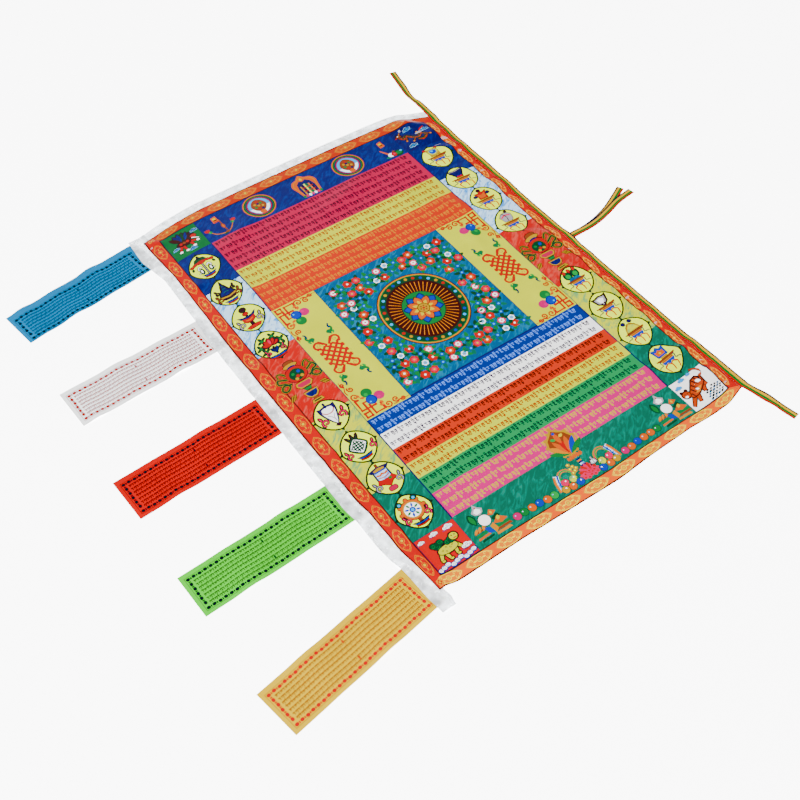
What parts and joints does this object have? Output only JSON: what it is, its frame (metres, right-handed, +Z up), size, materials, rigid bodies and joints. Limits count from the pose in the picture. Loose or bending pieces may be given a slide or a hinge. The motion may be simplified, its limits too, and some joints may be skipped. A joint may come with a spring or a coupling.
{
  "type": "tibetan prayer flag with streamers and ties",
  "caption": "Large printed satin prayer flag lying flat, with white heading bands, coloured cloth streamers along one side and woven tape ties along the other.",
  "frame": {"origin": "on the flat underside of the printed panel, under the middle of the panel", "axes": "+Z up through the cloth to the printed side, +Y up the flag towards its top edge, +X across the flag towards the hoist edge with the woven tape"},
  "size_m": [1.0925, 1.1163, 0.0086],
  "materials": {
    "printed_satin": "polyester satin printed in many colours, soft sheen",
    "white_sheer": "thin white voile, slightly see-through",
    "streamer_blue": "thin plain-weave cloth, block printed in black",
    "streamer_white": "thin plain-weave cloth, block printed in red",
    "streamer_red": "thin plain-weave cloth, block printed in black",
    "streamer_green": "thin plain-weave cloth, block printed in black",
    "streamer_yellow": "thin plain-weave cloth, block printed in red",
    "woven_tape": "ribbed woven tape in red, green, yellow and navy stripes"
  },
  "bodies": {
    "root": {"printed_panel": "printed_satin", "side_band": "white_sheer", "top_band": "white_sheer", "streamer_blue": "streamer_blue", "streamer_white": "streamer_white", "streamer_red": "streamer_red", "streamer_green": "streamer_green", "streamer_yellow": "streamer_yellow", "hoist_tape": "woven_tape", "middle_tie_under": "woven_tape", "middle_tie_over": "woven_tape"}
  },
  "joints": []
}
